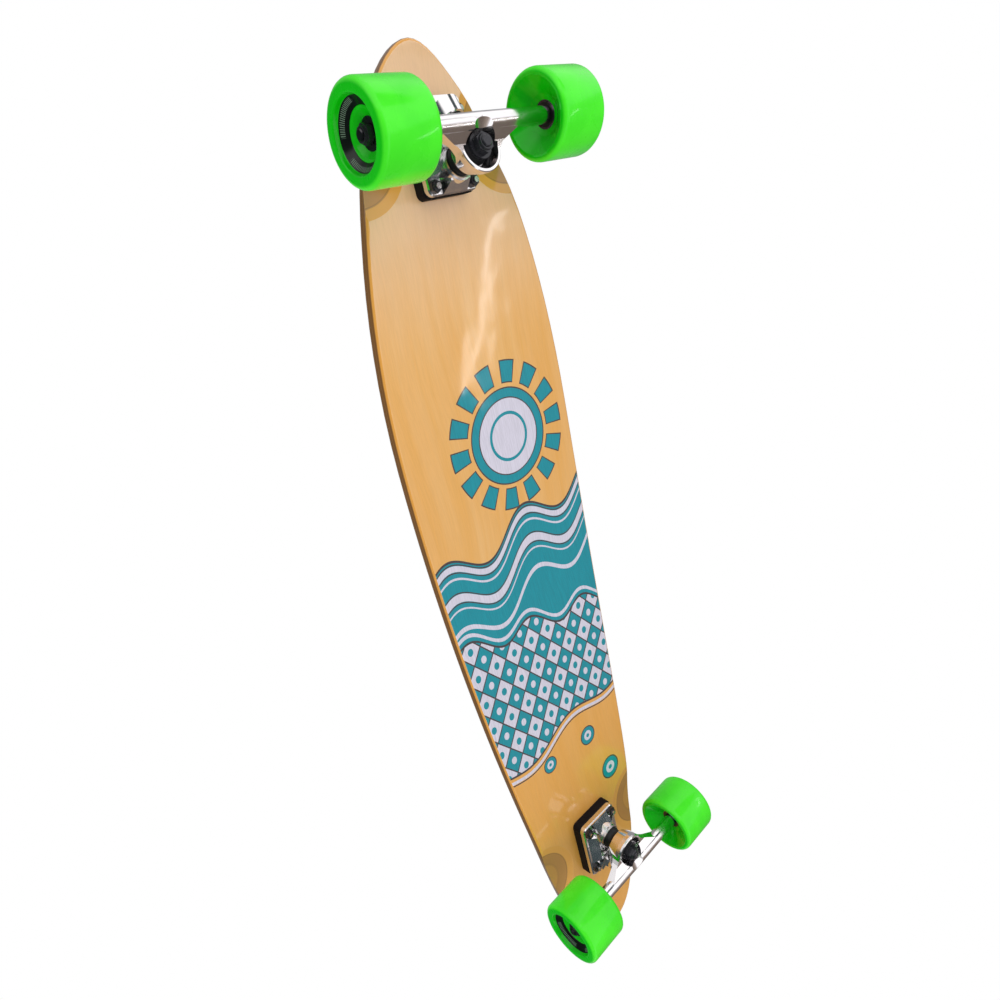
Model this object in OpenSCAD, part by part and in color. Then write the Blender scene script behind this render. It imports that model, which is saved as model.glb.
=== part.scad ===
// Pintail longboard: laminated deck on two standing-kingpin trucks with four urethane wheels.
// The board stands on its wheels. +X points to the nose, +Z is up, and the origin lies on the
// ground below the middle of the deck's length.

/* [Deck] */
// Length from nose tip to tail tip
deck_length = 1002; // [940:2:1080]
// Greatest width, across the widest point
deck_width = 217; // [200:1:232]
// Thickness of the maple laminate
deck_thickness = 11; // [9:0.5:13]
// Radius of the sanded edge
edge_radius = 3.5; // [1.5:0.5:4]
// Height of the underside at the trucks when the board stands on its wheels
deck_height = 96; // [95:0.5:100]
// Rise of the arch between the trucks
camber = 12.5; // [0:0.5:16]
// Drop of the nose tip below the truck pads
nose_drop = 4; // [0:0.5:9]
// Drop of the tail tip below the truck pads
tail_drop = 6; // [0:0.5:9]
// How far the widest point lies forward of mid-length
widest_forward = 167; // [60:5:180]
// Fullness of the nose beside its tip
nose_fullness = 43; // [30:1:70]
// Length of the flat run in front of the widest point
nose_run = 210; // [100:5:240]
// Fullness of the pin beside its tip
tail_fullness = 48; // [20:1:60]
// Distance from the tail tip to the tail's shoulder
shoulder_at = 135; // [100:5:180]
// Half-width of the deck at the tail's shoulder
shoulder_half = 74; // [56:1:84]
// Spread of the outline at the shoulder, width gained per unit of length
shoulder_spread = 0.15; // [0.1:0.01:0.4]
// Length of the flat run behind the widest point
waist_run = 172; // [60:2:240]
// Steps in each stretch of the outline
outline_steps = 22; // [16:1:26]

/* [Wheel wells] */
// Depth of the sanded scoop over each wheel, at the deck's edge
well_depth = 4; // [1:0.5:5]
// Radius of the ball that the scoop follows
well_ball = 300; // [240:5:340]
// Distance from the deck's edge out to the middle of the ball
well_out = 15; // [0:1:20]

/* [Grip tape] */
// Thickness of the grip tape
grip_thickness = 0.8; // [0.5:0.1:1.2]
// Margin of bare wood between the tape and the start of the rounded edge
grip_margin = 0.5; // [0:0.5:3]

/* [Placing of the trucks] */
// Distance between the axles
wheelbase = 783; // [700:1:810]
// Distance from the front axle to the nose tip
nose_overhang = 76; // [66:1:120]

/* [Wheels] */
// Diameter of a wheel
wheel_diameter = 70; // [66:0.5:72]
// Width of a wheel
wheel_width = 51; // [46:0.5:54]
// Radius of the wheel's rounded lips
lip_radius = 5; // [2:0.5:7]
// Distance from the board's centreline to the middle of a wheel
wheel_track = 88; // [84:0.5:96]
// Depth of the dish in a wheel's side
dish_depth = 7; // [3:0.5:8]
// Width of the flat rim round the dish
rim_width = 2; // [1:0.5:4]
// Diameter of the moulded core inside the urethane
core_diameter = 31; // [28:0.5:34]
// Width of the core
core_width = 36; // [34:0.5:38]

/* [Bearings] */
// Outer diameter of a bearing
bearing_od = 22; // [20:0.5:24]
// Bore of a bearing and diameter of the axle
axle_diameter = 8; // [7:0.5:8]
// Width of a bearing
bearing_width = 7; // [6:0.5:8]
// Diameter of a bearing ball
ball_diameter = 3.97; // [3:0.01:4]
// Number of balls in a bearing
ball_count = 7; // [6:1:8]
// Distance between the two bearings of a wheel
spacer_length = 10; // [8:0.5:11]

/* [Truck geometry] */
// Lean of the kingpin from upright, in degrees
kingpin_lean = 10; // [8:0.5:11]
// Distance from the axle to the middle of the hanger's ring, towards the board's middle
ring_in = 18; // [17.75:0.25:19]
// Height of the middle of the hanger's ring above the axle
ring_up = 15.5; // [15:0.25:17]
// Lean of the steering axis from level, in degrees
steer_lean = 24; // [22:0.5:25]
// Distance from the ring's middle to the middle of the pivot's ball
pivot_reach = 33.5; // [33:0.5:34.5]

/* [Baseplate] */
// Length of the baseplate
base_length = 73.5; // [72:0.5:76]
// Width of the baseplate
base_width = 54; // [53:0.5:60]
// Thickness of the baseplate's flange
base_thickness = 6.5; // [5:0.5:7]
// Distance from the axle to the baseplate's inner end
base_in = 42.5; // [42:0.5:45]
// Spacing of the mounting bolts along the board
bolt_pitch = 54; // [53:0.5:56]
// Spacing of the mounting bolts across the board
bolt_gauge = 41.3; // [40:0.1:42]
// How far the bolt pattern lies from the baseplate's middle, towards its inner end
bolt_shift = 2.5; // [2:0.25:3.5]
// Thickness of the riser pad
riser_thickness = 10; // [7:0.5:11]
// Overhang of the riser pad round the baseplate
riser_lip = 1; // [0:0.25:2]

/* [Hanger] */
// Diameter of the crossbar at its middle
crossbar_diameter = 15; // [14:0.5:16]
// Diameter of the crossbar at its ends
crossbar_end = 14; // [13:0.5:15]
// Outer diameter of the ring, on the side next to the board
ring_diameter = 31; // [30:0.5:33]
// Outer diameter of the rim of the cup below the ring
cup_rim_diameter = 40.5; // [38:0.5:42]
// Thickness of the cup's rim
cup_rim_wall = 2.6; // [2:0.1:3.2]
// Diameter of the hole for the kingpin
ring_hole = 17; // [15:0.5:18]
// Height of the ring above its middle plane
ring_top = 5; // [4:0.5:6]
// Depth of the cup below the ring's middle plane
cup_depth = 13.5; // [12:0.5:14.5]
// Half-thickness of the ring between the two bushings
ring_web = 2.5; // [2:0.25:3]
// Diameter of the ball on the hanger's pivot
pivot_ball = 12; // [11.5:0.5:13]
// Half-width of the web where it meets the crossbar
web_spread = 48; // [44:1:54]

/* [Bushings and kingpin] */
// Diameter of the bushings
bushing_diameter = 24; // [22:0.5:24]
// Height of the bushing next to the board
board_bushing_height = 14; // [12:0.5:15]
// Height of the bushing next to the road
road_bushing_height = 10; // [9:0.5:11]
// Small end of the cone-shaped bushing next to the road
road_bushing_end = 18; // [16:0.5:20]
// Diameter of the kingpin
kingpin_diameter = 9.5; // [9:0.1:10]
// Thickness of the cup washers
cup_thickness = 1.5; // [1:0.1:2]
// Diameter of the kingpin's head
kingpin_head = 14; // [13:0.5:14.5]
// Height of the kingpin's head
kingpin_head_height = 5.5; // [4:0.5:6]
// Width across the flats of the kingpin nut
kingpin_nut_af = 14.3; // [13:0.1:15]
// Height of the kingpin nut
kingpin_nut_height = 7.5; // [6:0.5:8]

/* [Fasteners] */
// Diameter of the mounting bolts
bolt_diameter = 4.8; // [4:0.1:5]
// Diameter of the countersunk heads
bolt_head = 9.4; // [8.5:0.1:10]
// Height of the countersunk heads
bolt_head_height = 2.8; // [2:0.1:3.2]
// Width across the flats of the mounting nuts
bolt_nut_af = 9.5; // [8:0.1:10]
// Height of the mounting nuts
bolt_nut_height = 5; // [4:0.5:6]
// Width across the flats of the axle nuts
axle_nut_af = 12.7; // [12:0.1:13]
// Height of the axle nuts
axle_nut_height = 6.5; // [5:0.5:7]
// Thickness of the speed rings beside the bearings
speed_ring = 1; // [0.5:0.1:1.5]

/* [Clearances] */
// Radial running gap between a shaft and its bore
fit_gap = 0.03; // [0.02:0.01:0.05]
// Radial gap round the bolts in their holes
bolt_gap = 0.3; // [0.2:0.05:0.5]
// Gap between soft or curved faces that move against each other
seat_gap = 0.3; // [0.2:0.05:0.5]

/* [Hidden] */
$fn = 64;

// Height from the middle of a scoop's ball to the ball's surface at the deck's edge
well_drop = sqrt(pow(well_ball, 2) - pow(well_out, 2));
// Allowance by which a cutter runs past the surface that it cuts
past = 1;
// Length of a cutter that runs right through a casting
long_cut = 30;
// Film of glue under the grip tape
glue_line = 0.06;
// Joint between the core and the urethane poured round it
bond_line = 0.02;

axle_height = wheel_diameter / 2;
front_axle_x = deck_length / 2 - nose_overhang;
rear_axle_x = front_axle_x - wheelbase;
arch_middle = (front_axle_x + rear_axle_x) / 2;
deck_top = deck_height + deck_thickness;
base_top = deck_height - riser_thickness;
flange_bottom = base_top - base_thickness;
base_out = base_length - base_in;
base_middle = base_in - base_length / 2;

// The deck stays flat this far past the riser, so that the riser beds on it
pad_margin = 12.5;
// Power that blends the arch into the pads: 1 is a plain parabola
arch_blend = 1.3;
pad_in = base_in + riser_lip + pad_margin;
pad_out = base_out + riser_lip + pad_margin;

// Corners of the mounting pattern, in the truck's own frame
bolt_places = [for (i = [-1, 1], j = [-1, 1])
    [base_middle + bolt_shift + i * bolt_pitch / 2, j * bolt_gauge / 2]];

// Places along the kingpin, measured from the middle of the ring, up towards the board
board_bushing_top = ring_web + board_bushing_height;
base_seat = board_bushing_top + cup_thickness;
// Thickness of the baseplate between the kingpin seat and the kingpin head
seat_floor = 7.5;
head_seat = base_seat + seat_floor;
road_bushing_bottom = -ring_web - road_bushing_height;
nut_seat = road_bushing_bottom - cup_thickness;
// How far the kingpin and the axle stand out of their nuts
stud_end = 1.5;
kingpin_end = nut_seat - kingpin_nut_height - stud_end;

// Places along the axle, measured from the board's centreline
bearing_half = spacer_length / 2 + bearing_width;
hanger_half = wheel_track - bearing_half - speed_ring;
axle_half = wheel_track + bearing_half + speed_ring + axle_nut_height + stud_end;
pitch_radius = (axle_diameter + bearing_od) / 4;
race_shoulder = ball_diameter * 0.33;
inner_race_radius = pitch_radius - race_shoulder;
outer_race_radius = pitch_radius + race_shoulder;
groove_radius = ball_diameter / 2 + 0.06;
shield_thickness = 0.4;
shield_set_back = 0.2;
shield_radius = outer_race_radius + 0.6;

// The axle's middle, in the ring's frame
axle_across = -ring_in * cos(kingpin_lean) + ring_up * sin(kingpin_lean);
axle_down = -ring_in * sin(kingpin_lean) - ring_up * cos(kingpin_lean);

// ---------------------------------------------------------------- outline of the deck

function bezier(p, t) =
    pow(1 - t, 3) * p[0] + 3 * pow(1 - t, 2) * t * p[1] + 3 * (1 - t) * t * t * p[2] + t * t * t * p[3];
function bezier_slope(p, t) =
    3 * pow(1 - t, 2) * (p[1] - p[0]) + 6 * (1 - t) * t * (p[2] - p[1]) + 3 * t * t * (p[3] - p[2]);
function outward(d) = [-d.y, d.x] / norm(d);

tail_tip = [-deck_length / 2, 0];
nose_tip = [deck_length / 2, 0];
shoulder = [-deck_length / 2 + shoulder_at, shoulder_half];
spread = [1, shoulder_spread];
widest = [widest_forward, deck_width / 2];
shoulder_pull = shoulder_at * 0.45;
waist_pull = shoulder_at;

// Three curves from tail tip to nose tip, on the left side of the board
stretches = [
    [tail_tip, tail_tip + [0, tail_fullness], shoulder - shoulder_pull * spread, shoulder],
    [shoulder, shoulder + waist_pull * spread, widest - [waist_run, 0], widest],
    [widest, widest + [nose_run, 0], nose_tip + [0, nose_fullness], nose_tip]
];

function on_stretch(k, t, inset) = bezier(stretches[k], t) - inset * outward(bezier_slope(stretches[k], t));
function side_line(inset) = concat(
    [[tail_tip.x + inset, 0]],
    [for (i = [1:outline_steps]) on_stretch(0, i / outline_steps, inset)],
    [for (i = [1:outline_steps]) on_stretch(1, i / outline_steps, inset)],
    [for (i = [1:outline_steps - 1]) on_stretch(2, i / outline_steps, inset)],
    [[nose_tip.x - inset, 0]]
);
function loop_line(inset) =
    let (side = side_line(inset), last = len(side) - 1)
    concat(side, [for (i = [last - 1:-1:1]) [side[i].x, -side[i].y]]);
function half_width(x) = lookup(x, [for (p = side_line(0)) [p.x, p.y]]);

// Height of the underside above the truck pads: an arch between the trucks, and falling tips
function arch(x) =
    let (s = min(1, abs(x - arch_middle) / (wheelbase / 2 - pad_in)))
    camber * pow(1 - s * s, arch_blend);
function tip_fall(x) =
    let (
        nose = max(0, (x - front_axle_x - pad_out) / (deck_length / 2 - front_axle_x - pad_out)),
        tail = max(0, (rear_axle_x - pad_out - x) / (deck_length / 2 + rear_axle_x - pad_out))
    )
    nose_drop * nose * nose + tail_drop * tail * tail;
function deck_rise(x) = arch(x) - tip_fall(x);

// A sheet that follows the deck. Each level is [inset from the outline, height above the underside].
module deck_sheet(levels) {
    loops = [for (v = levels) [for (p = loop_line(v[0])) [p.x, p.y, deck_height + deck_rise(p.x) + v[1]]]];
    n = len(loops[0]);
    half = n / 2;
    top = (len(levels) - 1) * n;
    bottom_face = [for (i = [0:half - 1]) [i, i + 1, (n - i - 1) % n, (n - i) % n]];
    polyhedron(
        points = [for (l = loops) each l],
        faces = concat(
            [for (f = bottom_face) f],
            [for (f = bottom_face) [for (k = [3:-1:0]) f[k] + top]],
            [for (v = [0:len(levels) - 2], i = [0:n - 1])
                let (a = v * n + i, b = v * n + (i + 1) % n) each [[a, a + n, b], [b, a + n, b + n]]]
        )
    );
}

// Levels of a sheet of thickness t with both edges rounded to radius r
function rounded_levels(t, r, steps = 4) = concat(
    [for (i = [0:steps]) [r * (1 - sin(90 * i / steps)), r * (1 - cos(90 * i / steps))]],
    [for (i = [steps:-1:0]) [r * (1 - sin(90 * i / steps)), t - r * (1 - cos(90 * i / steps))]]
);

// ---------------------------------------------------------------- frames

module front() translate([front_axle_x, 0, 0]) rotate([0, 0, 180]) children();
module rear() translate([rear_axle_x, 0, 0]) children();
// The ring's frame: z runs up the kingpin
module at_ring() translate([ring_in, 0, axle_height + ring_up]) rotate([0, kingpin_lean, 0]) children();
// The pivot's frame: z runs from the ring's middle along the steering axis to the pivot
module at_pivot() translate([ring_in, 0, axle_height + ring_up]) rotate([0, steer_lean - 90, 0]) children();
// A wheel's frame: z runs along the axle to the outer face
module corner(end, side)
    translate([end > 0 ? front_axle_x : rear_axle_x, side * wheel_track, axle_height])
        rotate([-90 * side, 0, 0]) children();
// The same, within a truck
module both_sides() for (side = [-1, 1]) translate([0, side * wheel_track, axle_height])
    rotate([-90 * side, 0, 0]) children();

// ---------------------------------------------------------------- deck

module deck() color("peru") difference() {
    deck_sheet(rounded_levels(deck_thickness, edge_radius));
    front() bolt_holes();
    rear() bolt_holes();
    for (x = [front_axle_x, rear_axle_x], side = [-1, 1])
        translate([x, side * (half_width(x) + well_out), deck_height + well_depth - well_drop])
            sphere(well_ball, $fn = 200);
}

module grip_tape() color("dimgray") difference() {
    inset = edge_radius + grip_margin;
    deck_sheet([[inset, deck_thickness + glue_line], [inset, deck_thickness + grip_thickness]]);
    front() bolt_holes();
    rear() bolt_holes();
}

// ---------------------------------------------------------------- mounting hardware

module bolt_shape(grow) {
    head_top = deck_top + grip_thickness;
    bolt_end = flange_bottom - bolt_nut_height - 2;
    translate([0, 0, bolt_end - grow]) cylinder(d = bolt_diameter + 2 * grow, h = head_top - bolt_end);
    translate([0, 0, head_top - bolt_head_height])
        cylinder(d1 = bolt_diameter + 2 * grow, d2 = bolt_head + 2 * grow, h = bolt_head_height + grow / 10);
}
module bolt_holes() for (p = bolt_places) translate(p) bolt_shape(bolt_gap);

// Cross-head countersunk screws
module mounting_bolts() color("silver") for (p = bolt_places) translate(p) difference() {
    bolt_shape(0);
    for (a = [0, 90]) translate([0, 0, deck_top + grip_thickness]) rotate([0, 0, a])
        cube([bolt_head * 0.55, bolt_head * 0.13, 2.4], center = true);
}

module mounting_nuts() color("dimgray") for (p = bolt_places)
    translate([p.x, p.y, flange_bottom - bolt_nut_height]) difference() {
        union() {
            translate([0, 0, bolt_nut_height * 0.3])
                cylinder(d = bolt_nut_af / cos(30), h = bolt_nut_height * 0.7, $fn = 6);
            cylinder(d = bolt_nut_af * 0.86, h = bolt_nut_height * 0.4);
        }
        translate([0, 0, -past]) cylinder(d = bolt_diameter + 2 * fit_gap, h = bolt_nut_height + 2 * past);
    }

// A flat plate with rounded corners and a chamfer round its lower face
module rounded_plate(length, width, height, r, chamfer) hull()
    for (i = [-1, 1], j = [-1, 1]) translate([i * (length / 2 - r), j * (width / 2 - r), 0]) {
        cylinder(r1 = r - chamfer, r2 = r, h = chamfer);
        translate([0, 0, chamfer]) cylinder(r = r, h = height - chamfer);
    }

module riser() color([0.08, 0.08, 0.08]) difference() {
    translate([base_middle, 0, base_top])
        rounded_plate(
            base_length + 2 * riser_lip, base_width + 2 * riser_lip, riser_thickness, corner_radius, riser_chamfer
        );
    bolt_holes();
}

// ---------------------------------------------------------------- baseplate

corner_radius = 6;
plate_chamfer = 1.2;
riser_chamfer = 0.5;
// Rim of the kingpin seat round the cup washer
seat_rim = 2.5;
seat_boss_radius = bushing_diameter / 2 + seat_rim;
// Wall of the pivot cup, and of the boss round it
cup_wall = 1.9;
boss_wall = 2.2;
end_wall = 1.8;
pivot_cup_radius = pivot_ball / 2 + seat_gap + cup_wall;
pivot_boss_radius = pivot_cup_radius + boss_wall;
pivot_mouth = pivot_reach - 3;
pivot_cup_end = pivot_reach + pivot_ball / 2 + seat_gap + cup_wall;
// Free room round a mounting nut
nut_room = bolt_nut_af * 0.58 + 1.6;
// Depth of the casting's waist, and half-widths of its spine at the flange and at the foot
waist_depth = 7;
spine_top = bolt_gauge / 2 - nut_room;
spine_foot = 10;
// Places along the board of the kingpin seat and of the pivot boss's two faces
seat_x = ring_in + base_seat * sin(kingpin_lean);
post_mouth = ring_in - pivot_mouth * cos(steer_lean);
post_end = ring_in - (pivot_cup_end + end_wall) * cos(steer_lean);
post_foot = axle_height + ring_up + pivot_reach * sin(steer_lean) + 3;

// Side view of the plate's spine: a post down to the pivot boss, a waist, and the kingpin seat
module spine_profile() polygon([
    [-base_out + 1, flange_bottom + past], [-base_out + 1, flange_bottom - 3],
    [post_end, flange_bottom - waist_depth], [post_end, post_foot], [post_mouth, post_foot],
    [post_mouth + 4, flange_bottom - waist_depth], [seat_x - seat_boss_radius - 3, flange_bottom - waist_depth],
    [seat_x - seat_boss_radius + 2, flange_bottom - waist_depth - 2],
    [seat_x + seat_boss_radius - 2, flange_bottom - waist_depth - 4],
    [base_in - 1, flange_bottom - 1], [base_in - 1, flange_bottom + past]
]);
// End view of the spine: its sides lean in towards the road
module spine_section(half_top, half_bottom, depth) polygon([
    [-half_top, flange_bottom + past], [half_top, flange_bottom + past],
    [half_bottom, flange_bottom - depth], [-half_bottom, flange_bottom - depth]
]);
module along_y(w) rotate([90, 0, 0]) translate([0, 0, -w / 2]) linear_extrude(w) children();
module along_x(from, to) translate([from, 0, 0]) rotate([90, 0, 90]) linear_extrude(to - from) children();

module baseplate() color("lightgray") difference() {
    union() {
        translate([base_middle, 0, flange_bottom])
            rounded_plate(base_length, base_width, base_thickness, corner_radius, plate_chamfer);
        intersection() {
            along_y(base_width) spine_profile();
            along_x(-base_out, base_in) spine_section(spine_top, spine_foot, flange_bottom - post_foot);
        }
        // Wings between the nuts, sloping from the flange to the spine
        intersection() {
            along_y(base_width) polygon([
                [bolt_places[0].x + nut_room, flange_bottom + past],
                [bolt_places[3].x - nut_room, flange_bottom + past],
                [bolt_places[3].x - nut_room - 3, flange_bottom - waist_depth],
                [bolt_places[0].x + nut_room + 3, flange_bottom - waist_depth]
            ]);
            along_x(-base_out, base_in) spine_section(base_width / 2 - 2, spine_top, waist_depth);
        }
        intersection() {
            union() {
                at_ring() translate([0, 0, base_seat]) cylinder(r = seat_boss_radius, h = long_cut);
                at_pivot() translate([0, 0, pivot_mouth])
                    cylinder(r = pivot_boss_radius, h = pivot_cup_end - pivot_mouth + end_wall);
            }
            translate([-base_out, -base_width / 2, 0]) cube([base_length, base_width, base_top]);
        }
    }
    // Room for the bushing and its cup washer under the seat
    at_ring() cylinder(r = seat_boss_radius - 0.3, h = base_seat);
    // Kingpin bore, with a pocket for the head that opens under the riser
    at_ring() cylinder(d = kingpin_diameter + 2 * fit_gap, h = head_seat + past);
    at_ring() translate([0, 0, head_seat]) cylinder(d = kingpin_head + 2 * seat_gap, h = long_cut);
    // Socket of the pivot cup
    at_pivot() translate([0, 0, pivot_mouth - 6])
        cylinder(r = pivot_cup_radius + fit_gap, h = pivot_cup_end + fit_gap - pivot_mouth + 6);
    bolt_holes();
}

module pivot_cup() color([0.1, 0.1, 0.1]) at_pivot() difference() {
    translate([0, 0, pivot_mouth]) cylinder(r = pivot_cup_radius, h = pivot_cup_end - pivot_mouth);
    translate([0, 0, pivot_reach]) sphere(r = pivot_ball / 2 + seat_gap);
    translate([0, 0, pivot_mouth - past])
        cylinder(r = pivot_ball / 2 + seat_gap, h = pivot_reach - pivot_mouth + past);
}

// ---------------------------------------------------------------- kingpin and bushings

module kingpin() color("dimgray") at_ring() {
    translate([0, 0, kingpin_end + 0.8]) cylinder(d = kingpin_diameter, h = head_seat - kingpin_end);
    translate([0, 0, kingpin_end]) cylinder(d1 = kingpin_diameter - 1.6, d2 = kingpin_diameter, h = 0.8);
    translate([0, 0, head_seat]) cylinder(d = kingpin_head, h = kingpin_head_height);
}

// Lock nut: a hexagon with a round collar on its free end
module lock_nut(af, height, bore) difference() {
    union() {
        translate([0, 0, height * 0.25]) cylinder(d = af / cos(30), h = height * 0.75, $fn = 6);
        cylinder(d1 = af * 0.84, d2 = af * 0.92, h = height * 0.25);
    }
    translate([0, 0, -past]) cylinder(d = bore, h = height + 2 * past);
}

module kingpin_nut() color([0.15, 0.15, 0.15]) at_ring() translate([0, 0, nut_seat - kingpin_nut_height])
    lock_nut(kingpin_nut_af, kingpin_nut_height, kingpin_diameter + 2 * fit_gap);

// Washer whose lip holds the end of a bushing of radius r; the lip points up
module cup_washer(r) rotate_extrude() {
    hole = kingpin_diameter / 2 + fit_gap;
    translate([hole, 0]) square([r + seat_gap + 1 - hole, cup_thickness]);
    translate([r + seat_gap, 0]) square([1, cup_thickness + 1.5]);
}
module board_cup_washer() color("silver") at_ring() translate([0, 0, base_seat]) rotate([180, 0, 0])
    cup_washer(bushing_diameter / 2);
module road_cup_washer() color([0.15, 0.15, 0.15]) at_ring() translate([0, 0, nut_seat])
    cup_washer(road_bushing_end / 2);

bushing_bore = kingpin_diameter + 2 * seat_gap;
module board_bushing() color([0.1, 0.1, 0.1]) at_ring() translate([0, 0, ring_web]) rotate_extrude()
    difference() {
        translate([bushing_bore / 2, 0])
            square([(bushing_diameter - bushing_bore) / 2, board_bushing_height]);
        // The barrel's sides carry a shallow groove
        translate([bushing_diameter / 2 + 5.2, board_bushing_height * 0.52]) circle(r = 6);
    }
module road_bushing() color([0.1, 0.1, 0.1]) at_ring() difference() {
    union() {
        translate([0, 0, -ring_web - 2]) cylinder(d = bushing_diameter, h = 2);
        translate([0, 0, road_bushing_bottom + 2])
            cylinder(d1 = road_bushing_end, d2 = bushing_diameter, h = road_bushing_height - 4);
        translate([0, 0, road_bushing_bottom]) cylinder(d = road_bushing_end, h = 2);
    }
    translate([0, 0, road_bushing_bottom - past]) cylinder(d = bushing_bore, h = road_bushing_height + 2 * past);
}

// ---------------------------------------------------------------- hanger

// Hole through the cup for the nut: its narrowest radius, its radius round the washer, and how far
// it is drawn out to each side, so that it clears the nut over the whole travel of the hanger
nut_clear = 9.6;
washer_clear = road_bushing_end / 2 + seat_gap + 1.6;
hole_slide = 6;
hole_start = 12.5;
// The flare of the hole where it breaks out of the crossbar
flare_radius = 21;
flare_depth = 9.5;
flare_start = 2;
// Root of the pivot's neck inside the body, and its radius there and at the ball
neck_root = 13.5;
neck_radius = 7.5;
pivot_neck = pivot_ball * 0.43;
cup_bottom = -cup_depth;

// Side view of the cast body, in the ring's frame; its end lies inside the cup
body_end = ring_diameter / 2 - 2;
module body_profile() polygon([
    [body_end, ring_top - 0.5], [axle_across + 2, ring_top + 1.5], [axle_across - 4, ring_top],
    [axle_across - crossbar_diameter / 2 + 0.6, axle_down + 3],
    [axle_across, axle_down], [axle_across + crossbar_diameter * 0.45, axle_down - crossbar_diameter * 0.2],
    [-2, cup_bottom - 1.2], [4, cup_bottom + 0.5], [body_end, cup_bottom + 0.5]
]);
// One flank of the body, seen along the kingpin: it runs out from the cup to the crossbar
flank = [
    [6, cup_rim_diameter / 2 - 1.2], [2.4, cup_rim_diameter / 2 + 0.6], [-0.6, cup_rim_diameter / 2 + 3.6],
    [-4.2, web_spread * 0.65], [-8.6, web_spread * 0.84], [-11.5, web_spread],
    [axle_across - crossbar_diameter, web_spread]
];
module body_plan() {
    circle(r = body_end);
    polygon(concat(flank, [for (i = [len(flank) - 1:-1:0]) [flank[i].x, -flank[i].y]]));
}

// The body seen along the steering axis: its shoulders slope down to the crossbar
shoulder_line = [
    [ring_diameter / 2 - 2, ring_top + 1.5], [ring_diameter / 2 + 1.6, ring_top - 3],
    [ring_diameter / 2 + 5, -4.5], [web_spread * 0.58, -9], [web_spread, axle_down + crossbar_end * 0.3]
];
module body_shoulders() polygon(concat(
    [for (p = shoulder_line) p], [[web_spread, 2 * axle_down], [-web_spread, 2 * axle_down]],
    [for (i = [len(shoulder_line) - 1:-1:0]) [-shoulder_line[i].x, shoulder_line[i].y]]
));

// The cup that holds the bushing next to the road: a bowl that flares to its rim
module cup_bowl() rotate_extrude() polygon([
    [0, ring_top], [ring_diameter / 2, ring_top], [ring_diameter / 2 + 1.7, 0],
    [cup_rim_diameter / 2 - 1, cup_bottom * 0.45], [cup_rim_diameter / 2, cup_bottom * 0.8],
    [cup_rim_diameter / 2, cup_bottom + 0.6], [cup_rim_diameter / 2 - 0.6, cup_bottom], [0, cup_bottom]
]);
module cup_cavity() {
    seat = bushing_diameter / 2 + seat_gap;
    mouth = cup_rim_diameter / 2 - cup_rim_wall;
    intersection() {
        translate([0, 0, cup_bottom - past])
            cylinder(r1 = mouth + past / 2, r2 = seat, h = cup_depth + past - ring_web);
        // The wall beside the axle stays thick
        translate([-seat - 0.6, -long_cut, -long_cut]) cube([2 * long_cut, 2 * long_cut, long_cut]);
    }
    translate([0, 0, nut_seat - 0.6]) cylinder(r = washer_clear, h = cup_depth - ring_web);
}
// The hole for the nut, drawn out to each side, and its flare where it breaks out of the crossbar
module nut_hole() {
    for (side = [-1, 1]) translate([0, side * hole_slide, -2 * long_cut])
        cylinder(r = nut_clear, h = 2 * long_cut - hole_start);
    translate([-nut_clear, -hole_slide, -2 * long_cut])
        cube([2 * nut_clear, 2 * hole_slide, 2 * long_cut - hole_start]);
    translate([0, 0, axle_down - flare_depth - flare_start])
        cylinder(r1 = flare_radius, r2 = nut_clear - 0.5, h = flare_depth);
}

module hanger() color("gainsboro") difference() {
    union() {
        // Crossbar: two tapers that meet at the middle
        for (side = [-1, 1]) translate([0, 0, axle_height]) rotate([-90 * side, 0, 0])
            cylinder(d1 = crossbar_diameter, d2 = crossbar_end, h = hanger_half);
        at_ring() intersection() {
            along_y(2 * web_spread) body_profile();
            translate([0, 0, 2 * axle_down]) linear_extrude(-3 * axle_down) body_plan();
            along_x(2.5 * axle_across, ring_diameter) body_shoulders();
        }
        at_ring() cup_bowl();
        // Pivot: a tapered neck and its ball
        at_pivot() {
            translate([0, 0, neck_root]) cylinder(r1 = neck_radius, r2 = pivot_neck, h = pivot_reach - neck_root);
            translate([0, 0, pivot_reach]) sphere(d = pivot_ball);
        }
    }
    at_ring() {
        translate([0, 0, -long_cut]) cylinder(d = ring_hole, h = 2 * long_cut);
        translate([0, 0, ring_web]) cylinder(d = bushing_diameter + 2 * seat_gap, h = long_cut);
        cup_cavity();
        nut_hole();
    }
    translate([0, 0, axle_height]) rotate([90, 0, 0])
        cylinder(d = axle_diameter + 2 * fit_gap, h = 2 * hanger_half + 2 * past, center = true);
}

module axle() color("silver") translate([0, 0, axle_height]) rotate([90, 0, 0]) {
    cylinder(d = axle_diameter, h = 2 * axle_half - 1.6, center = true);
    for (side = [-1, 1]) rotate([90 - 90 * side, 0, 0]) translate([0, 0, axle_half - 0.8])
        cylinder(d1 = axle_diameter, d2 = axle_diameter - 1.6, h = 0.8);
}

module axle_nuts() color([0.2, 0.2, 0.2]) both_sides()
    translate([0, 0, bearing_half + speed_ring + axle_nut_height]) rotate([180, 0, 0])
        lock_nut(axle_nut_af, axle_nut_height, axle_diameter + 2 * fit_gap);

module ring(inner, outer, height) difference() {
    cylinder(r = outer, h = height);
    translate([0, 0, -past]) cylinder(r = inner, h = height + 2 * past);
}

module speed_rings() color("silver") both_sides() for (z = [-bearing_half - speed_ring, bearing_half])
    translate([0, 0, z]) ring(axle_diameter / 2 + fit_gap, inner_race_radius - 0.2, speed_ring);

// ---------------------------------------------------------------- bearings

module bearing_places() for (z = [-1, 1]) translate([0, 0, z * (spacer_length + bearing_width) / 2]) children();
module groove() translate([pitch_radius, 0]) circle(r = groove_radius);

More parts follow.
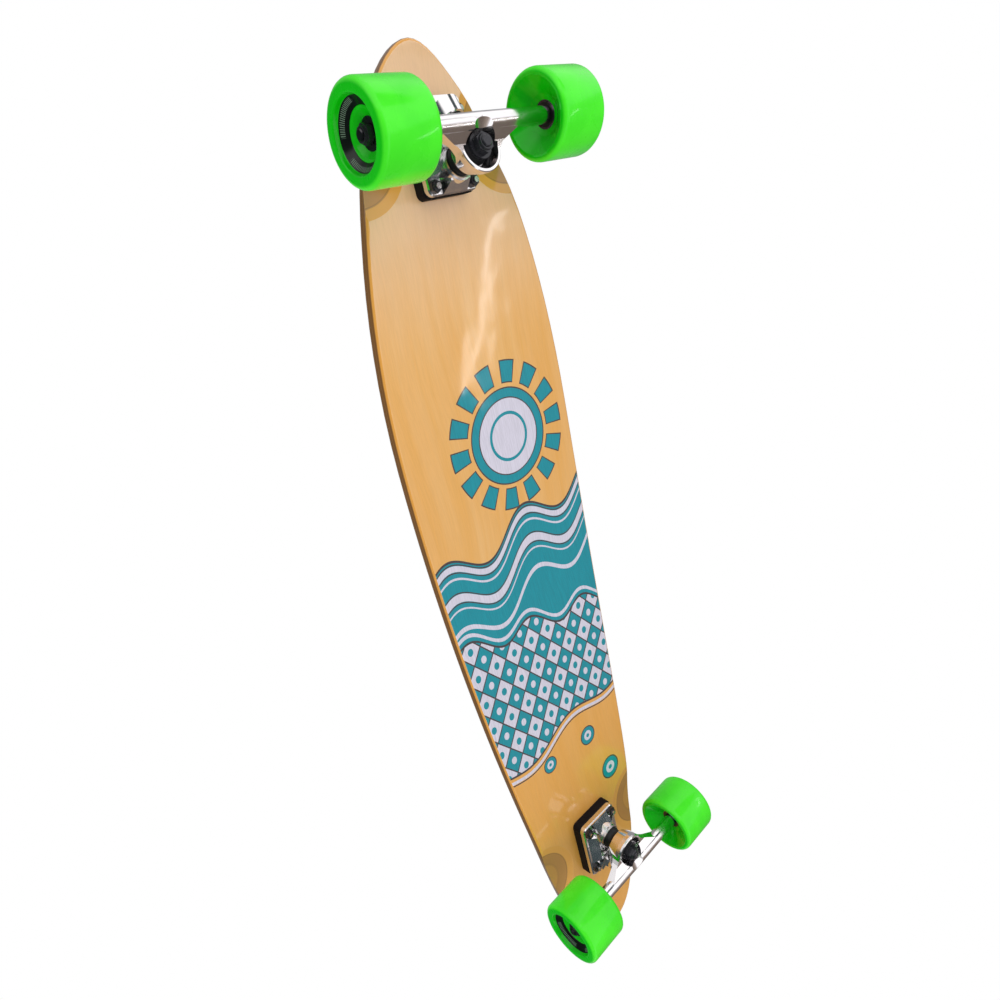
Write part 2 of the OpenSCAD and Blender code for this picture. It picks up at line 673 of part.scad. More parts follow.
module inner_races() color("lightsteelblue") both_sides() bearing_places() rotate_extrude() difference() {
    bore = axle_diameter / 2 + fit_gap;
    translate([bore, -bearing_width / 2]) square([inner_race_radius - bore, bearing_width]);
    groove();
}
module outer_races() color("lightsteelblue") bearing_places() rotate_extrude() difference() {
    translate([outer_race_radius, -bearing_width / 2])
        square([bearing_od / 2 - outer_race_radius, bearing_width]);
    groove();
    for (z = [-1, 1]) translate([0, z * (bearing_width / 2 + past - shield_thickness - shield_set_back)])
        square([2 * shield_radius + 2 * fit_gap, 2 * past], center = true);
}
module shields() color([0.12, 0.12, 0.12]) bearing_places() for (z = [-1, 1])
    translate([0, 0, z * (bearing_width / 2 - shield_set_back - shield_thickness / 2) - shield_thickness / 2])
        ring(inner_race_radius + 0.2, shield_radius, shield_thickness);
module balls() color("silver") bearing_places() for (i = [1:ball_count])
    rotate([0, 0, i * 360 / ball_count]) translate([pitch_radius, 0, 0]) sphere(d = ball_diameter, $fn = 24);

module bearing_spacers() color("silver") both_sides()
    translate([0, 0, -spacer_length / 2]) ring(axle_diameter / 2 + fit_gap, inner_race_radius - 0.4, spacer_length);

// ---------------------------------------------------------------- wheels

module core() color([0.1, 0.75, 0.1]) rotate_extrude() {
    seat = bearing_od / 2 + fit_gap;
    shoulder = bearing_od / 2 - 1.5;
    mouth = bearing_od / 2 + 1.4;
    stop = spacer_length / 2;
    polygon([
        [shoulder, -stop], [seat, -stop], [seat, -bearing_half], [mouth, -core_width / 2],
        [core_diameter / 2, -core_width / 2], [core_diameter / 2, core_width / 2],
        [mouth, core_width / 2], [seat, bearing_half], [seat, stop], [shoulder, stop]
    ]);
}

module tyre() color([0.2, 0.9, 0.15]) rotate_extrude() difference() {
    inner = core_diameter / 2 + bond_line;
    outer = wheel_diameter / 2;
    half = wheel_width / 2;
    union() {
        translate([inner, -half]) square([outer - lip_radius - inner, wheel_width]);
        translate([inner, -half + lip_radius]) square([outer - inner, wheel_width - 2 * lip_radius]);
        for (z = [-1, 1]) translate([outer - lip_radius, z * (half - lip_radius)]) circle(r = lip_radius);
    }
    for (z = [-1, 1]) polygon([
        [0, z * (half - dish_depth)], [inner, z * (half - dish_depth)],
        [outer - lip_radius - rim_width, z * half], [outer - lip_radius - rim_width, z * (half + past)],
        [0, z * (half + past)]
    ]);
}

// ---------------------------------------------------------------- assembly

deck();
grip_tape();
front() riser();  // front_riser
front() baseplate();  // front_baseplate
front() pivot_cup();  // front_pivot_cup
front() kingpin();  // front_kingpin
front() kingpin_nut();  // front_kingpin_nut
front() board_cup_washer();  // front_board_cup_washer
front() road_cup_washer();  // front_road_cup_washer
front() board_bushing();  // front_board_bushing
front() road_bushing();  // front_road_bushing
front() mounting_bolts();  // front_mounting_bolts
front() mounting_nuts();  // front_mounting_nuts
front() hanger();  // front_hanger
front() axle();  // front_axle
front() axle_nuts();  // front_axle_nuts
front() speed_rings();  // front_speed_rings
front() inner_races();  // front_inner_races
front() bearing_spacers();  // front_bearing_spacers
rear() riser();  // rear_riser
rear() baseplate();  // rear_baseplate
rear() pivot_cup();  // rear_pivot_cup
rear() kingpin();  // rear_kingpin
rear() kingpin_nut();  // rear_kingpin_nut
rear() board_cup_washer();  // rear_board_cup_washer
rear() road_cup_washer();  // rear_road_cup_washer
rear() board_bushing();  // rear_board_bushing
rear() road_bushing();  // rear_road_bushing
rear() mounting_bolts();  // rear_mounting_bolts
rear() mounting_nuts();  // rear_mounting_nuts
rear() hanger();  // rear_hanger
rear() axle();  // rear_axle
rear() axle_nuts();  // rear_axle_nuts
rear() speed_rings();  // rear_speed_rings
rear() inner_races();  // rear_inner_races
rear() bearing_spacers();  // rear_bearing_spacers
corner(1, 1) tyre();  // front_left_tyre
corner(1, 1) core();  // front_left_core
corner(1, 1) outer_races();  // front_left_outer_races
corner(1, 1) shields();  // front_left_shields
corner(1, 1) balls();  // front_left_balls
corner(1, -1) tyre();  // front_right_tyre
corner(1, -1) core();  // front_right_core
corner(1, -1) outer_races();  // front_right_outer_races
corner(1, -1) shields();  // front_right_shields
corner(1, -1) balls();  // front_right_balls
corner(-1, 1) tyre();  // rear_left_tyre
corner(-1, 1) core();  // rear_left_core
corner(-1, 1) outer_races();  // rear_left_outer_races
corner(-1, 1) shields();  // rear_left_shields
corner(-1, 1) balls();  // rear_left_balls
corner(-1, -1) tyre();  // rear_right_tyre
corner(-1, -1) core();  // rear_right_core
corner(-1, -1) outer_races();  // rear_right_outer_races
corner(-1, -1) shields();  // rear_right_shields
corner(-1, -1) balls();  // rear_right_balls
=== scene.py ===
import math
import bmesh
import bpy
from mathutils import Matrix, Vector


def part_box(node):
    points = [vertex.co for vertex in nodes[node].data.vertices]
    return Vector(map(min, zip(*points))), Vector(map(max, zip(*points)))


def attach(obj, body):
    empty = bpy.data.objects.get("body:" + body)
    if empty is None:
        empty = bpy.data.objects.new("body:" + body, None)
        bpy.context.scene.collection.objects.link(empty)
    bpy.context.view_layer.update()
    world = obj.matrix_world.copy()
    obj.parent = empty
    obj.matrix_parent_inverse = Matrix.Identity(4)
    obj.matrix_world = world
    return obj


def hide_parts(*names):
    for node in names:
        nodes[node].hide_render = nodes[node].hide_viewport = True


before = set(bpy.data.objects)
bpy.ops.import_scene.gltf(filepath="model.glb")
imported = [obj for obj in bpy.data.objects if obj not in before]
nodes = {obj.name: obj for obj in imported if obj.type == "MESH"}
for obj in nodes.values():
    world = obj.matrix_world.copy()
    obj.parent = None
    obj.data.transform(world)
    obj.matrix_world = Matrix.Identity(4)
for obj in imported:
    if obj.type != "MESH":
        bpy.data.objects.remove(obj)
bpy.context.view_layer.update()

scene = bpy.context.scene
scene.view_settings.view_transform = "Standard"

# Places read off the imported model, in metres
frontTyreLow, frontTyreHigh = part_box("front_left_tyre")
rearTyreLow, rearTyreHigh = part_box("rear_left_tyre")
deckLow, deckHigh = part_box("deck")
frontAxle = (frontTyreLow.x + frontTyreHigh.x) / 2
rearAxle = (rearTyreLow.x + rearTyreHigh.x) / 2
axleHeight = (frontTyreLow.z + frontTyreHigh.z) / 2
wheelTrack = (frontTyreLow.y + frontTyreHigh.y) / 2
midAxles = (frontAxle + rearAxle) / 2
halfBase = (frontAxle - rearAxle) / 2
perMetre = 1000.0  # Millimetres in a metre
print("frame loaded", len(nodes), "nodes")


# Small helpers for node trees
def feed(tree, socket, value):
    if isinstance(value, bpy.types.NodeSocket):
        tree.links.new(value, socket)
    else:
        socket.default_value = value


def calc(tree, operation, *values):
    node = tree.nodes.new("ShaderNodeMath")
    node.operation = operation
    for socket, value in zip(node.inputs, values):
        feed(tree, socket, value)
    return node.outputs[0]


def blend(tree, factor, under, over, kind="MIX"):
    node = tree.nodes.new("ShaderNodeMix")
    node.data_type = "RGBA"
    node.blend_type = kind
    feed(tree, node.inputs[0], factor)
    feed(tree, node.inputs[6], under)
    feed(tree, node.inputs[7], over)
    return node.outputs[2]


def remap(tree, value, low, high, toLow=0.0, toHigh=1.0):
    node = tree.nodes.new("ShaderNodeMapRange")
    node.interpolation_type = "SMOOTHSTEP"
    for socket, item in zip(node.inputs, (value, low, high, toLow, toHigh)):
        feed(tree, socket, item)
    return node.outputs[0]


def vectorCalc(tree, operation, first, second, output="Vector"):
    node = tree.nodes.new("ShaderNodeVectorMath")
    node.operation = operation
    feed(tree, node.inputs[0], first)
    feed(tree, node.inputs[1], second)
    return node.outputs[output]


def splitUp(tree, vector):
    node = tree.nodes.new("ShaderNodeSeparateXYZ")
    tree.links.new(vector, node.inputs[0])
    return node.outputs


def noise(tree, place, scale, detail=3.0, rough=0.5, stretch=None):
    if stretch:
        mapping = tree.nodes.new("ShaderNodeMapping")
        tree.links.new(place, mapping.inputs["Vector"])
        mapping.inputs["Scale"].default_value = stretch
        place = mapping.outputs["Vector"]
    node = tree.nodes.new("ShaderNodeTexNoise")
    tree.links.new(place, node.inputs["Vector"])
    feed(tree, node.inputs["Scale"], scale)
    node.inputs["Detail"].default_value = detail
    node.inputs["Roughness"].default_value = rough
    return node.outputs["Fac"]


def within(tree, value, low, high):
    above = calc(tree, "GREATER_THAN", value, low)
    return calc(tree, "MULTIPLY", above, calc(tree, "LESS_THAN", value, high))


def lineAt(tree, value, centre, halfWidth):
    distance = calc(tree, "ABSOLUTE", calc(tree, "SUBTRACT", value, centre))
    return calc(tree, "LESS_THAN", distance, halfWidth)


def toNearestEdge(tree, part):
    return calc(tree, "MINIMUM", part, calc(tree, "SUBTRACT", 1.0, part))


def newGroup(name, inputs, outputs):
    group = bpy.data.node_groups.new(name, "ShaderNodeTree")
    for side, sockets in (("INPUT", inputs), ("OUTPUT", outputs)):
        for label, kind in sockets:
            group.interface.new_socket(name=label, in_out=side, socket_type="NodeSocket" + kind)
    entry = group.nodes.new("NodeGroupInput")
    leave = group.nodes.new("NodeGroupOutput")
    return group, entry.outputs, leave.inputs


def useGroup(tree, group, **values):
    node = tree.nodes.new("ShaderNodeGroup")
    node.node_tree = group
    for label, value in values.items():
        feed(tree, node.inputs[label], value)
    return node.outputs


def newMaterial(name):
    material = bpy.data.materials.new(name)
    material.use_nodes = True
    tree = material.node_tree
    tree.nodes.clear()
    leave = tree.nodes.new("ShaderNodeOutputMaterial")
    shader = tree.nodes.new("ShaderNodeBsdfPrincipled")
    tree.links.new(shader.outputs["BSDF"], leave.inputs["Surface"])
    place = tree.nodes.new("ShaderNodeTexCoord").outputs["Object"]
    return material, tree, shader, place


def bumpInto(tree, shader, height, distance, strength, socket="Normal"):
    node = tree.nodes.new("ShaderNodeBump")
    node.inputs["Strength"].default_value = strength
    node.inputs["Distance"].default_value = distance
    tree.links.new(height, node.inputs["Height"])
    tree.links.new(node.outputs["Normal"], shader.inputs[socket])


def setShader(shader, **values):
    for label, value in values.items():
        shader.inputs[label.replace("_", " ")].default_value = value


# Effects that several materials share
handlingLook = {
    "hairlines": 900.0, "stretch": (0.05, 1.0, 1.0), "hairlineRoughness": 0.03, "hairlineHeight": 0.2,
    "smudgeRange": (0.42, 0.68), "onMaple": 9.0, "onUrethane": 40.0, "onPlastic": 55.0, "onMetal": 70.0,
}


def makeHandling():
    # Smudges and fine hairline marks from handling
    group, given, result = newGroup(
        "handling",
        [("Place", "Vector"), ("Scale", "Float"), ("Clean", "Float"), ("Smudged", "Float")],
        [("Roughness", "Float"), ("Height", "Float")])
    clouds = noise(group, given["Place"], given["Scale"], 4.0, 0.6)
    marks = noise(group, given["Place"], handlingLook["hairlines"], 2.0, 0.6, handlingLook["stretch"])
    smudge = remap(group, clouds, *handlingLook["smudgeRange"])
    spread = calc(group, "SUBTRACT", given["Smudged"], given["Clean"])
    rough = calc(group, "ADD", given["Clean"], calc(group, "MULTIPLY", spread, smudge))
    scratched = calc(group, "MULTIPLY", marks, handlingLook["hairlineRoughness"])
    raised = calc(group, "MULTIPLY", marks, handlingLook["hairlineHeight"])
    feed(group, result["Roughness"], calc(group, "ADD", rough, scratched))
    feed(group, result["Height"], calc(group, "ADD", clouds, raised))
    return group


dustLook = {
    "patches": 60.0, "patchRange": (0.45, 0.75), "grains": 1500.0, "grainRange": (0.4, 0.7),
    "onMetal": (0.45, 0.42, 0.38, 1), "onPlastic": (0.08, 0.075, 0.07, 1), "amount": 0.10, "onGrip": 0.35,
}


def makeDust():
    # Pale dust that settles in patches, as a mask
    group, given, result = newGroup("dust", [("Place", "Vector"), ("Amount", "Float")], [("Mask", "Float")])
    patches = noise(group, given["Place"], dustLook["patches"], 5.0, 0.65)
    grains = noise(group, given["Place"], dustLook["grains"], 1.0, 0.5)
    both = calc(group, "MULTIPLY", remap(group, patches, *dustLook["patchRange"]),
                remap(group, grains, *dustLook["grainRange"]))
    feed(group, result["Mask"], calc(group, "MULTIPLY", both, given["Amount"]))
    return group


handling = makeHandling()
dust = makeDust()


def addMarks(tree, shader, place, scale, clean, smudged):
    # Roughness between clean and smudged, in smudges of the given scale
    marks = useGroup(tree, handling, Place=place, Scale=scale, Clean=clean, Smudged=smudged)
    tree.links.new(marks["Roughness"], shader.inputs["Roughness"])
    return marks


print("shared effects ready")

# The deck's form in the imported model, in metres
deckForm = {
    "underside": 0.096, "thickness": 0.011, "plies": 7,
    "camber": 0.0125, "archPower": 1.3, "padIn": 0.056, "padOut": 0.0445,
    "noseDrop": 0.004, "tailDrop": 0.006,
}


def makeDeckLevel():
    # Height above the deck's own underside, in millimetres, whatever the arch
    group, given, result = newGroup("deckLevel", [("Place", "Vector")], [("Level", "Float")])
    place = splitUp(group, given["Place"])
    along, up = place["X"], place["Z"]
    offset = calc(group, "ABSOLUTE", calc(group, "SUBTRACT", along, midAxles))
    share = calc(group, "MINIMUM", calc(group, "DIVIDE", offset, halfBase - deckForm["padIn"]), 1.0)
    bow = calc(group, "SUBTRACT", 1.0, calc(group, "MULTIPLY", share, share))
    level = calc(group, "MULTIPLY", calc(group, "POWER", bow, deckForm["archPower"]), deckForm["camber"])
    for start, tip, drop in (
        (frontAxle + deckForm["padOut"], deckHigh.x, deckForm["noseDrop"]),
        (rearAxle - deckForm["padOut"], deckLow.x, deckForm["tailDrop"]),
    ):
        run = calc(group, "DIVIDE", calc(group, "SUBTRACT", along, start), tip - start)
        run = calc(group, "MAXIMUM", run, 0.0)
        fall = calc(group, "MULTIPLY", calc(group, "MULTIPLY", run, run), drop)
        level = calc(group, "SUBTRACT", level, fall)
    above = calc(group, "SUBTRACT", calc(group, "SUBTRACT", up, deckForm["underside"]), level)
    feed(group, result["Level"], calc(group, "MULTIPLY", above, perMetre))
    return group


mapleFigure = {
    "bendScale": 5.0, "bend": (0.0, 0.03, 0.0),
    "bands": (3.0, 75.0, 40.0), "bandRange": (0.3, 0.7),
    "pores": (45.0, 1100.0, 600.0),
    "flow": (4.0, 14.0, 10.0), "flowRange": (0.32, 0.68),
}


def makeFigure():
    # Maple figure that runs along the board
    group, given, result = newGroup(
        "mapleFigure", [("Place", "Vector")], [("Tone", "Float"), ("Pores", "Float"), ("Flow", "Float")])
    wander = group.nodes.new("ShaderNodeTexNoise")
    group.links.new(given["Place"], wander.inputs["Vector"])
    wander.inputs["Scale"].default_value = mapleFigure["bendScale"]
    wander.inputs["Detail"].default_value = 1.0
    shift = vectorCalc(group, "MULTIPLY", wander.outputs["Color"], mapleFigure["bend"])
    bent = vectorCalc(group, "ADD", given["Place"], shift)
    bands = noise(group, bent, 1.0, 5.0, 0.62, mapleFigure["bands"])
    pores = noise(group, bent, 1.0, 3.0, 0.65, mapleFigure["pores"])
    flow = noise(group, bent, 1.0, 2.0, 0.5, mapleFigure["flow"])
    feed(group, result["Tone"], remap(group, bands, *mapleFigure["bandRange"]))
    feed(group, result["Pores"], pores)
    feed(group, result["Flow"], remap(group, flow, *mapleFigure["flowRange"]))
    return group


# The printed design on the underside, in millimetres. The crest, trough and shore each have a place along the
# board, the height, length and phase of their waves, and a slant. A line has its distance from one of these
# and its half width. The sun's discs and rays are measured from its rim.
deckPrint = {
    "teal": (0.0, 0.285, 0.36, 1), "lavender": (0.70, 0.67, 0.79, 1), "charcoal": (0.062, 0.052, 0.060, 1),
    "crest": (66.0, 15.0, 17.5, 0.6, 0.14),
    "trough": (-50.0, 10.0, 13.0, 2.1, -0.2),
    "shore": (-188.0, 8.0, 21.0, 1.0, 0.1),
    "swells": ((-8.0, 3.2), (-19.0, 1.2), (-40.0, 4.5), (-52.0, 1.0), (-74.0, 2.6)),
    "ripples": (-3.6, -12.4, -34.4, -45.6), "rippleHalf": 0.7,
    "troughFoam": (8.0, 2.2), "shoreFoam": (-7.0, 2.0), "shoreLine": (-10.5, 0.8),
    "outlineHalf": 1.3, "shoreHalf": 1.2,
    "lattice": 26.0, "latticeLean": 0.8, "dotSize": 0.035, "seamShare": 0.035,
    "sun": (158.0, 20.0), "sunRadius": 38.0, "sunRays": 14, "skyGap": 1.0,
    "ray": (0.2, 0.72, 16.0, 36.0), "rayRim": (0.16, 0.76, 14.8, 37.4),
    "sunDiscs": ((11.0, "charcoal"), (9.6, "teal"), (1.2, "charcoal"), (0.0, "lavender")),
    "sunRing": (0.62, 1.6),
    "floats": ((-219.0, -34.0, 10.0), (-224.0, 30.0, 12.0), (-288.0, 52.0, 15.0)),
    "floatDiscs": ((1.0, "charcoal"), (0.88, "teal"), (0.5, "lavender"), (0.2, "teal")),
}


def makePrint():
    # A sun over a tide, and a harlequin field behind it
    group, given, result = newGroup(
        "tidePrint", [("Place", "Vector")], [("Colour", "Color"), ("Mask", "Float")])
    layers = []

    def m(operation, *values):
        return calc(group, operation, *values)

    def lay(mask, tone):
        layers.append((mask, tone))

    place = splitUp(group, given["Place"])
    along, across = m("MULTIPLY", place["X"], perMetre), m("MULTIPLY", place["Y"], perMetre)

    def shoreline(middle, height, length, phase, slant):
        wave = m("MULTIPLY", m("SINE", m("ADD", m("DIVIDE", across, length), phase)), height)
        return m("SUBTRACT", along, m("ADD", m("ADD", wave, middle), m("MULTIPLY", across, slant)))

    crest, trough, shore = (shoreline(*deckPrint[name]) for name in ("crest", "trough", "shore"))
    sea = m("MULTIPLY", m("LESS_THAN", crest, 0.0), m("GREATER_THAN", trough, 0.0))
    lay(sea, "teal")
    for centre, halfWidth in deckPrint["swells"]:
        lay(m("MULTIPLY", sea, lineAt(group, crest, centre, halfWidth)), "lavender")
    for centre in deckPrint["ripples"]:
        lay(m("MULTIPLY", sea, lineAt(group, crest, centre, deckPrint["rippleHalf"])), "charcoal")
    lay(m("MULTIPLY", sea, lineAt(group, trough, *deckPrint["troughFoam"])), "lavender")

    # Harlequin field: two slanting sets of stripes, chequered, with a dot in each diamond
    field = m("MULTIPLY", m("LESS_THAN", trough, 0.0), m("GREATER_THAN", shore, 0.0))
    lean = m("MULTIPLY", along, deckPrint["latticeLean"])
    first = m("DIVIDE", m("ADD", lean, across), deckPrint["lattice"])
    second = m("DIVIDE", m("SUBTRACT", lean, across), deckPrint["lattice"])
    step = m("ADD", m("FLOOR", first), m("FLOOR", second))
    checker = m("LESS_THAN", m("FLOORED_MODULO", step, 2.0), 0.5)
    parts = m("FRACT", first), m("FRACT", second)
    lay(field, "lavender")
    lay(m("MULTIPLY", field, checker), "teal")
    spread = m("ADD", *(m("POWER", m("ABSOLUTE", m("SUBTRACT", part, 0.5)), 2.0) for part in parts))
    dot = m("MULTIPLY", field, m("LESS_THAN", spread, deckPrint["dotSize"]))
    lay(m("MULTIPLY", dot, checker), "lavender")
    lay(m("MULTIPLY", dot, m("SUBTRACT", 1.0, checker)), "teal")
    for part in parts:
        seam = m("LESS_THAN", toNearestEdge(group, part), deckPrint["seamShare"])
        lay(m("MULTIPLY", field, seam), "charcoal")
    for edge, halfWidth in ((crest, "outlineHalf"), (trough, "outlineHalf"), (shore, "shoreHalf")):
        lay(lineAt(group, edge, 0.0, deckPrint[halfWidth]), "charcoal")
    lay(lineAt(group, shore, *deckPrint["shoreFoam"]), "lavender")
    lay(lineAt(group, shore, *deckPrint["shoreLine"]), "charcoal")

    # Discs: the sun with its rays, and floats behind the shore
    def fromPoint(x, y):
        dx, dy = m("SUBTRACT", along, x), m("SUBTRACT", across, y)
        return dx, dy, m("SQRT", m("ADD", m("MULTIPLY", dx, dx), m("MULTIPLY", dy, dy)))

    sky = m("GREATER_THAN", crest, deckPrint["skyGap"])
    dx, dy, reach = fromPoint(*deckPrint["sun"])
    radius = deckPrint["sunRadius"]
    part = m("FRACT", m("MULTIPLY", m("ARCTAN2", dy, dx), deckPrint["sunRays"] / (2 * math.pi)))

    def rays(start, end, inner, outer):
        fan = within(group, part, start, end)
        return m("MULTIPLY", fan, within(group, reach, radius + inner, radius + outer))

    lay(m("MULTIPLY", sky, rays(*deckPrint["rayRim"])), "charcoal")
    lay(m("MULTIPLY", sky, rays(*deckPrint["ray"])), "teal")
    for margin, tone in deckPrint["sunDiscs"]:
        lay(m("MULTIPLY", sky, m("LESS_THAN", reach, radius + margin)), tone)
    ringShare, ringHalf = deckPrint["sunRing"]
    lay(m("MULTIPLY", sky, lineAt(group, reach, radius * ringShare, ringHalf)), "teal")
    for x, y, size in deckPrint["floats"]:
        reach = fromPoint(x, y)[2]
        for share, tone in deckPrint["floatDiscs"]:
            lay(m("LESS_THAN", reach, size * share), tone)

    colour, mask = deckPrint["teal"], 0.0
    for layer, tone in layers:
        colour = blend(group, layer, colour, deckPrint[tone])
        mask = m("MAXIMUM", mask, layer)
    feed(group, result["Colour"], colour)
    feed(group, result["Mask"], mask)
    return group


deckLevel, boardFigure, tidePrint = makeDeckLevel(), makeFigure(), makePrint()

# Maple: fades run from one place along the board to another, in metres, up to a share
maple = {
    "honey": (0.83, 0.44, 0.125, 1), "pale": (0.86, 0.50, 0.19, 1), "amber": (0.80, 0.365, 0.06, 1),
    "nose": (0.90, 0.57, 0.34, 1), "crossPly": (0.46, 0.205, 0.045, 1), "glue": (0.10, 0.035, 0.012, 1),
    "edge": (0.13, 0.055, 0.014, 1),
    "tailFade": (0.16, -0.32, 0.0, 0.75), "noseFade": (0.24, 0.40, 0.0, 0.8), "flowShare": 0.35,
    "poreShade": (0.35, 0.65, 0.965, 1.02), "inkShade": (0.3, 0.7, 0.88, 1.08), "poreDepth": 0.00002,
    "crossShare": 0.85, "glueShare": 0.4, "glueWidth": 0.07, "skin": 0.18, "inkLimit": 2.0,
    "edgeLean": (0.75, 0.35, 0.0, 0.8), "wellShadeLean": (0.8, 0.95), "wellShadeDepth": (1.2, 3.0, 0.0, 0.7),
    "rough": (0.34, 0.42), "waveScale": 13.0, "waveDepth": 0.0013, "varnishRoughness": 0.085,
}


def makePlies(tree, level, normal):
    # Every second ply is cross-grained and darker, with a glue line between. The upright edges are darkened,
    # and the floors of the wells get painted shade, darker the deeper they are cut.
    order = calc(tree, "DIVIDE", level, deckForm["thickness"] * perMetre / deckForm["plies"])
    odd = calc(tree, "GREATER_THAN", calc(tree, "FLOORED_MODULO", order, 2.0), 1.0)
    glue = calc(tree, "LESS_THAN", toNearestEdge(tree, calc(tree, "FRACT", order)), maple["glueWidth"])
    cross = calc(tree, "MULTIPLY", odd, maple["crossShare"])
    plies = blend(tree, cross, maple["amber"], maple["crossPly"])
    plies = blend(tree, calc(tree, "MULTIPLY", glue, maple["glueShare"]), plies, maple["glue"])
    lean = calc(tree, "ABSOLUTE", splitUp(tree, normal)["Z"])
    # Painted shade: the floors of the wheel wells darken towards cross-ply brown the deeper they are cut
    wellShade = calc(tree, "MULTIPLY", remap(tree, lean, *maple["wellShadeLean"]),
                  remap(tree, level, *maple["wellShadeDepth"]))
    plies = blend(tree, wellShade, plies, maple["crossPly"])
    return blend(tree, remap(tree, lean, *maple["edgeLean"]), plies, maple["edge"])


def makeMaple():
    material, tree, shader, place = newMaterial("varnishedMaple")
    level = useGroup(tree, deckLevel, Place=place)["Level"]
    figure = useGroup(tree, boardFigure, Place=place)
    along = splitUp(tree, place)["X"]
    face = blend(tree, figure["Tone"], maple["honey"], maple["pale"])
    flow = calc(tree, "MULTIPLY", figure["Flow"], maple["flowShare"])
    ambered = calc(tree, "MAXIMUM", flow, remap(tree, along, *maple["tailFade"]))
    face = blend(tree, ambered, face, maple["amber"])
    # Painted reflection: toward the nose the wood turns paler and pinker, standing in for the varnish's haze
    face = blend(tree, remap(tree, along, *maple["noseFade"]), face, maple["nose"])
    face = blend(tree, 1.0, face, remap(tree, figure["Pores"], *maple["poreShade"]), "MULTIPLY")
    ink = useGroup(tree, tidePrint, Place=place)
    printed = blend(tree, 1.0, ink["Colour"], remap(tree, figure["Pores"], *maple["inkShade"]), "MULTIPLY")
    lower = calc(tree, "LESS_THAN", level, maple["inkLimit"])
    face = blend(tree, calc(tree, "MULTIPLY", ink["Mask"], lower), face, printed)
    plies = makePlies(tree, level, tree.nodes.new("ShaderNodeNewGeometry").outputs["Normal"])
    cut = within(tree, level, maple["skin"], deckForm["thickness"] * perMetre - maple["skin"])
    tree.links.new(blend(tree, cut, face, plies), shader.inputs["Base Color"])
    addMarks(tree, shader, place, handlingLook["onMaple"], *maple["rough"])
    bumpInto(tree, shader, figure["Pores"], maple["poreDepth"], 0.5)
    waves = noise(tree, place, maple["waveScale"], 2.0, 0.5)
    bumpInto(tree, shader, waves, maple["waveDepth"], 1.0, "Coat Normal")
    setShader(shader, Coat_Weight=1.0, Coat_Roughness=maple["varnishRoughness"], Coat_IOR=1.5,
              Specular_IOR_Level=0.3)
    return material


gripTape = {
    "black": (0.012, 0.012, 0.013, 1), "grit": (0.085, 0.085, 0.09, 1),
    "gritScale": 1400.0, "gritDepth": 0.0003,
    "glintScale": 2300.0, "glintRange": (0.68, 0.76), "dullToGlinting": (0.85, 0.3),
}


def makeGrip():
    material, tree, shader, place = newMaterial("gripTape")
    grit = noise(tree, place, gripTape["gritScale"], 2.0, 0.7)
    glint = remap(tree, noise(tree, place, gripTape["glintScale"], 0.0), *gripTape["glintRange"])
    darkerSteel = useGroup(tree, dust, Place=place, Amount=dustLook["onGrip"])["Mask"]
    tone = blend(tree, calc(tree, "MAXIMUM", glint, darkerSteel), gripTape["black"], gripTape["grit"])
    rough = remap(tree, glint, 0.0, 1.0, *gripTape["dullToGlinting"])
    tree.links.new(tone, shader.inputs["Base Color"])
    tree.links.new(rough, shader.inputs["Roughness"])
    bumpInto(tree, shader, grit, gripTape["gritDepth"], 0.9)
    return material


def makeWheelPolar():
    # Radius from the wheel's own axle in millimetres, the turn round it, and the distance from the centreline
    group, given, result = newGroup(
        "wheelPolar", [("Place", "Vector")], [("Radius", "Float"), ("Turn", "Float"), ("Outward", "Float")])
    place = splitUp(group, given["Place"])
    ends = calc(group, "ABSOLUTE", calc(group, "SUBTRACT", place["X"], midAxles))
    along = calc(group, "SUBTRACT", ends, halfBase)
    up = calc(group, "SUBTRACT", place["Z"], axleHeight)
    square = calc(group, "ADD", calc(group, "MULTIPLY", along, along), calc(group, "MULTIPLY", up, up))
    aside = calc(group, "ABSOLUTE", place["Y"])
    feed(group, result["Radius"], calc(group, "MULTIPLY", calc(group, "SQRT", square), perMetre))
    feed(group, result["Turn"], calc(group, "DIVIDE", calc(group, "ARCTAN2", up, along), 2 * math.pi))
    feed(group, result["Outward"], calc(group, "MULTIPLY", aside, perMetre))
    return group


wheelPolar = makeWheelPolar()

# Poured urethane, with radii in millimetres. The ticks stand on the band in three groups.
urethane = {
    "green": (0.074, 0.95, 0.024, 1), "deepGreen": (0.002, 0.58, 0.002, 1),
    "band": (0.004, 0.008, 0.005, 1), "tick": (0.16, 0.24, 0.17, 1),
    "cloudScale": 35.0, "cloudRange": (0.35, 0.7, 0.0, 0.25), "faceShade": (33.6, 30.6),
    "bandRadii": (17.6, 23.9), "tickRadii": (20.2, 23.2), "ticks": 96, "tickShare": 0.42,
    "tickGroups": 3.0, "groupTurn": 0.15, "groupSpan": (0.16, 0.84),
    "treadRadius": 33.0, "latheLines": 14.0, "latheDepth": 0.000006,
    "rough": (0.24, 0.36), "coat": 0.45, "coatRoughness": 0.09, "gloss": 0.12,
}


